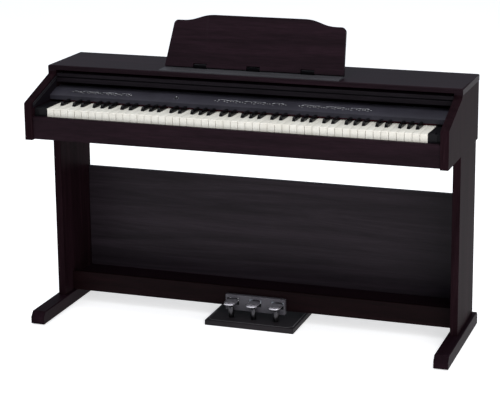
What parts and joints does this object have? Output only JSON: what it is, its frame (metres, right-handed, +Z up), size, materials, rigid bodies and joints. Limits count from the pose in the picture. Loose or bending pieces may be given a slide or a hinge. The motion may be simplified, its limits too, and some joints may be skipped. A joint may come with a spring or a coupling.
{
  "type": "digital piano on stand",
  "caption": "Compact cabinet digital piano on a board stand, with a sliding key cover, a folding music rest and foot pedals.",
  "frame": {"origin": "on the floor, at the middle of the whole object's footprint", "axes": "+X to the player's right, +Y from the player to the back, +Z up"},
  "size_m": [1.3742, 0.441, 0.9906],
  "materials": {
    "dark_rosewood": "satin foil over board, fine dark grain",
    "satin_black_plastic": "satin",
    "white_key_plastic": "gloss",
    "black_key_plastic": "semi-matte",
    "red_felt": "felt",
    "plated_steel": "zinc plated",
    "aluminium_channel": "extruded",
    "black_metal": "satin black paint",
    "grey_painted_metal": "satin grey paint",
    "pedal_metal": "satin nickel, lightly worn",
    "rubber": "matte",
    "green_circuit_board": "solder mask"
  },
  "bodies": {
    "cabinet": {"left_cheek": "dark_rosewood", "right_cheek": "dark_rosewood", "top_board": "dark_rosewood", "key_bed": "dark_rosewood", "key_slip": "dark_rosewood", "cabinet_back": "dark_rosewood", "key_blocks": "satin_black_plastic", "key_frame": "satin_black_plastic", "key_shaft": "plated_steel", "key_contact_strip": "rubber", "control_panel": "satin_black_plastic", "panel_board": "green_circuit_board", "key_felt": "red_felt", "cover_channels": "aluminium_channel", "rest_hinges": "satin_black_plastic", "rest_ledge": "satin_black_plastic", "left_leg": "dark_rosewood", "right_leg": "dark_rosewood", "left_foot": "dark_rosewood", "right_foot": "dark_rosewood", "foot_pads": "rubber", "rear_board": "dark_rosewood", "pedal_beam": "dark_rosewood", "beam_shelf": "dark_rosewood", "leg_brackets": "plated_steel", "bracket_bolts": "plated_steel", "pedal_cover": "grey_painted_metal", "pedal_base": "dark_rosewood", "pedal_stop_posts": "rubber", "pedal_chassis": "plated_steel", "pedal_shaft": "plated_steel", "speakers": "black_metal", "speaker_grilles": "satin_black_plastic", "main_board": "green_circuit_board", "headphone_sockets": "satin_black_plastic", "rear_sockets": "satin_black_plastic"},
    "bass_naturals": {"white_keys_bass": "white_key_plastic"},
    "bass_sharps": {"black_keys_bass": "black_key_plastic"},
    "treble_naturals": {"white_keys_treble": "white_key_plastic"},
    "treble_sharps": {"black_keys_treble": "black_key_plastic"},
    "key_c": {"key_c_middle": "white_key_plastic"},
    "key_c_sharp": {"key_c_sharp_middle": "black_key_plastic"},
    "key_d": {"key_d_middle": "white_key_plastic"},
    "key_d_sharp": {"key_d_sharp_middle": "black_key_plastic"},
    "key_e": {"key_e_middle": "white_key_plastic"},
    "power": {"power_button": "satin_black_plastic"},
    "left_row": {"left_buttons": "satin_black_plastic"},
    "centre_row": {"centre_buttons": "satin_black_plastic"},
    "right_row": {"right_buttons": "satin_black_plastic"},
    "volume": {"volume_knob": "satin_black_plastic"},
    "carriage": {"cover_carriage": "plated_steel"},
    "cover": {"cover_board": "dark_rosewood", "cover_front_rail": "dark_rosewood", "cover_brackets": "black_metal"},
    "rest": {"music_rest": "dark_rosewood", "rest_prop_clips": "satin_black_plastic"},
    "prop": {"rest_prop": "plated_steel"},
    "soft": {"soft_pedal": "pedal_metal"},
    "sostenuto": {"sostenuto_pedal": "pedal_metal"},
    "damper": {"damper_pedal": "pedal_metal"}
  },
  "joints": [
    {"name": "bass_naturals_press", "type": "hinge", "parent": "cabinet", "child": "bass_naturals", "pos_m": [0, -0.0165, 0.704], "axis": [1, 0, 0], "range_deg": [0, 3.15], "stiffness_Nm_per_rad": 14, "springref_deg": -11.46},
    {"name": "bass_sharps_press", "type": "hinge", "parent": "cabinet", "child": "bass_sharps", "pos_m": [0, -0.0165, 0.704], "axis": [1, 0, 0], "range_deg": [0, 3.15], "stiffness_Nm_per_rad": 6, "springref_deg": -11.46},
    {"name": "treble_naturals_press", "type": "hinge", "parent": "cabinet", "child": "treble_naturals", "pos_m": [0, -0.0165, 0.704], "axis": [1, 0, 0], "range_deg": [0, 3.15], "stiffness_Nm_per_rad": 16, "springref_deg": -11.46},
    {"name": "treble_sharps_press", "type": "hinge", "parent": "cabinet", "child": "treble_sharps", "pos_m": [0, -0.0165, 0.704], "axis": [1, 0, 0], "range_deg": [0, 3.15], "stiffness_Nm_per_rad": 6.5, "springref_deg": -11.46},
    {"name": "key_c_press", "type": "hinge", "parent": "cabinet", "child": "key_c", "pos_m": [0, -0.0165, 0.704], "axis": [1, 0, 0], "range_deg": [0, 3.15], "stiffness_Nm_per_rad": 0.6, "springref_deg": -11.46},
    {"name": "key_c_sharp_press", "type": "hinge", "parent": "cabinet", "child": "key_c_sharp", "pos_m": [0, -0.0165, 0.704], "axis": [1, 0, 0], "range_deg": [0, 3.15], "stiffness_Nm_per_rad": 0.4, "springref_deg": -11.46},
    {"name": "key_d_press", "type": "hinge", "parent": "cabinet", "child": "key_d", "pos_m": [0, -0.0165, 0.704], "axis": [1, 0, 0], "range_deg": [0, 3.15], "stiffness_Nm_per_rad": 0.6, "springref_deg": -11.46},
    {"name": "key_d_sharp_press", "type": "hinge", "parent": "cabinet", "child": "key_d_sharp", "pos_m": [0, -0.0165, 0.704], "axis": [1, 0, 0], "range_deg": [0, 3.15], "stiffness_Nm_per_rad": 0.4, "springref_deg": -11.46},
    {"name": "key_e_press", "type": "hinge", "parent": "cabinet", "child": "key_e", "pos_m": [0, -0.0165, 0.704], "axis": [1, 0, 0], "range_deg": [0, 3.15], "stiffness_Nm_per_rad": 0.6, "springref_deg": -11.46},
    {"name": "power_press", "type": "slide", "parent": "cabinet", "child": "power", "axis": [0, 0.304, -0.9527], "range_m": [0, 0.0008], "stiffness_N_per_m": 500, "springref_m": -0.001},
    {"name": "left_row_press", "type": "slide", "parent": "cabinet", "child": "left_row", "axis": [0, 0.304, -0.9527], "range_m": [0, 0.0008], "stiffness_N_per_m": 1500, "springref_m": -0.001},
    {"name": "centre_row_press", "type": "slide", "parent": "cabinet", "child": "centre_row", "axis": [0, 0.304, -0.9527], "range_m": [0, 0.0008], "stiffness_N_per_m": 1500, "springref_m": -0.001},
    {"name": "right_row_press", "type": "slide", "parent": "cabinet", "child": "right_row", "axis": [0, 0.304, -0.9527], "range_m": [0, 0.0008], "stiffness_N_per_m": 1500, "springref_m": -0.001},
    {"name": "volume_turn", "type": "hinge", "parent": "cabinet", "child": "volume", "pos_m": [-0.228, -0.06083, 0.74551], "axis": [0, -0.304, 0.9527], "range_deg": [-150, 150]},
    {"name": "cover_slide", "type": "slide", "parent": "cabinet", "child": "carriage", "axis": [0, -1, 0], "range_m": [0, 0.172]},
    {"name": "cover_pitch", "type": "hinge", "parent": "carriage", "child": "cover", "pos_m": [0, 0.1595, 0.786], "axis": [1, 0, 0], "range_deg": [0, 14.4]},
    {"name": "rest_fold", "type": "hinge", "parent": "cabinet", "child": "rest", "pos_m": [0, 0.0215, 0.835], "axis": [-1, 0, 0], "range_deg": [0, 64.5]},
    {"name": "prop_fold", "type": "hinge", "parent": "rest", "child": "prop", "pos_m": [0, 0.05437, 0.8858], "axis": [1, 0, 0], "range_deg": [0, 117.2]},
    {"name": "soft_press", "type": "hinge", "parent": "cabinet", "child": "soft", "pos_m": [-0.076, 0.1595, 0.067], "axis": [1, 0, 0], "range_deg": [0, 3.9], "stiffness_Nm_per_rad": 20, "springref_deg": -3.44},
    {"name": "sostenuto_press", "type": "hinge", "parent": "cabinet", "child": "sostenuto", "pos_m": [0, 0.1595, 0.067], "axis": [1, 0, 0], "range_deg": [0, 3.9], "stiffness_Nm_per_rad": 20, "springref_deg": -3.44},
    {"name": "damper_press", "type": "hinge", "parent": "cabinet", "child": "damper", "pos_m": [0.076, 0.1595, 0.067], "axis": [1, 0, 0], "range_deg": [0, 3.9], "stiffness_Nm_per_rad": 20, "springref_deg": -3.44}
  ],
  "couplings": [
    {"joint": "cover_pitch", "follows": "cover_slide", "rad_per_m": 1.4612},
    {"joint": "prop_fold", "follows": "rest_fold", "ratio": 1.8155}
  ]
}
